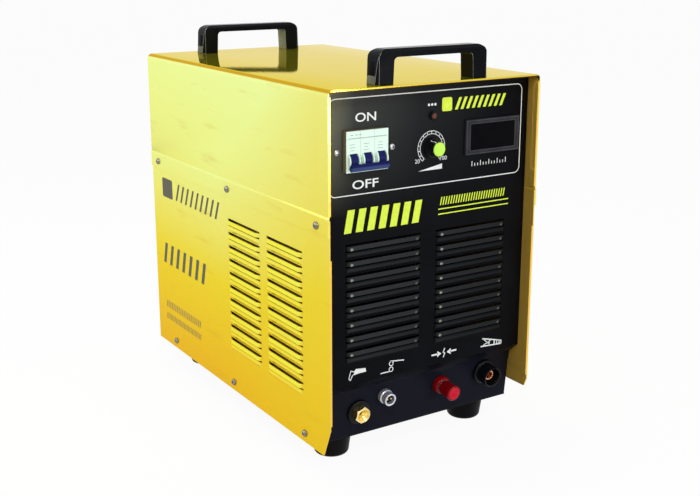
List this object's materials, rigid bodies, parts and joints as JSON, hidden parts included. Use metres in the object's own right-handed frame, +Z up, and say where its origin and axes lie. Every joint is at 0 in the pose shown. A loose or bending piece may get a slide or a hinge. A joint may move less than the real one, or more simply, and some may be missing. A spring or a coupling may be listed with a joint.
{
  "type": "plasma cutter power unit",
  "caption": "Portable inverter plasma cutter in a louvred sheet-metal case with two handles, breaker toggles, current knob, meter, front sockets and a rear fan.",
  "frame": {"origin": "middle of the bounding box in plan, on the floor under the rubber feet", "axes": "+X to the operator's right when facing the front panel, +Y from the front panel to the rear panel, +Z up"},
  "size_m": [0.2976, 0.496, 0.48],
  "materials": {
    "case_yellow": "glossy",
    "panel_black": "satin",
    "steel": "satin",
    "screw_dark": "satin",
    "black_plastic": "matte",
    "rubber": "matte",
    "breaker_white": "satin",
    "toggle_blue": "satin",
    "knob_lime": "glossy",
    "meter_dark": "glossy",
    "lamp_amber": "glossy",
    "brass": "polished",
    "chrome": "polished",
    "copper": "satin",
    "terminal_red": "glossy",
    "aluminium": "satin",
    "board_green": "satin",
    "core_dark": "matte",
    "hose_grey": "matte"
  },
  "bodies": {
    "case": {"base_tray": "panel_black", "front_panel": "panel_black", "rear_panel": "panel_black", "top_cover": "case_yellow", "left_side_panel": "case_yellow", "right_side_panel": "case_yellow", "case_screws": "screw_dark", "front_handle": "black_plastic", "rear_handle": "black_plastic", "handle_bolts": "screw_dark", "rubber_feet": "rubber", "foot_bolts": "screw_dark", "breaker_body": "breaker_white", "breaker_bracket": "steel", "breaker_screws": "steel", "current_control": "black_plastic", "control_nut": "steel", "lamp_bezel": "black_plastic", "lamp_lens": "lamp_amber", "meter_housing": "meter_dark", "meter_window": "meter_dark", "torch_insulator": "black_plastic", "torch_fitting": "brass", "torch_locknut": "steel", "control_socket": "chrome", "control_socket_insert": "black_plastic", "control_socket_pins": "brass", "control_socket_nut": "steel", "pilot_collar": "terminal_red", "pilot_stud": "brass", "work_socket_body": "black_plastic", "work_socket_contact": "copper", "work_socket_nut": "steel", "fan_frame": "black_plastic", "fan_guard": "steel", "fan_screws": "steel", "mains_gland": "black_plastic", "gland_cap": "black_plastic", "gland_locknut": "black_plastic", "air_inlet": "brass", "earth_stud": "brass", "shelf": "steel", "heat_sinks": "aluminium", "power_board": "board_green", "bus_capacitors": "black_plastic", "control_board": "board_green", "transformer_core": "core_dark", "transformer_winding": "copper", "output_choke": "copper", "gas_valve": "brass", "air_hose": "hose_grey", "arc_starter": "black_plastic"},
    "toggles": {"breaker_toggle": "toggle_blue"},
    "knob": {"control_shaft": "brass", "current_knob": "black_plastic", "knob_cap": "knob_lime"},
    "terminal_washer": {"pilot_washer": "steel"},
    "terminal_cap": {"pilot_cap": "terminal_red"},
    "impeller": {"fan_impeller": "black_plastic"}
  },
  "joints": [
    {"name": "breaker_throw", "type": "hinge", "parent": "case", "child": "toggles", "pos_m": [-0.088, -0.23, 0.3625], "axis": [-1, 0, 0], "range_deg": [0, 64]},
    {"name": "current_turn", "type": "hinge", "parent": "case", "child": "knob", "pos_m": [0.002, -0.238, 0.3663], "axis": [0, -1, 0], "range_deg": [-180, 120]},
    {"name": "terminal_lift", "type": "slide", "parent": "case", "child": "terminal_washer", "axis": [0, -0.9945, -0.1045], "range_m": [0, 0.003]},
    {"name": "terminal_turn", "type": "hinge", "parent": "terminal_washer", "child": "terminal_cap", "pos_m": [0.035, -0.22965, 0.06574], "axis": [0, -0.9945, -0.1045], "range_deg": [0, 1080]},
    {"name": "fan_spin", "type": "hinge", "parent": "case", "child": "impeller", "pos_m": [0, 0.2, 0.283], "axis": [0, 1, 0], "continuous": true}
  ],
  "couplings": [
    {"joint": "terminal_turn", "follows": "terminal_lift", "rad_per_m": 6283.2}
  ]
}
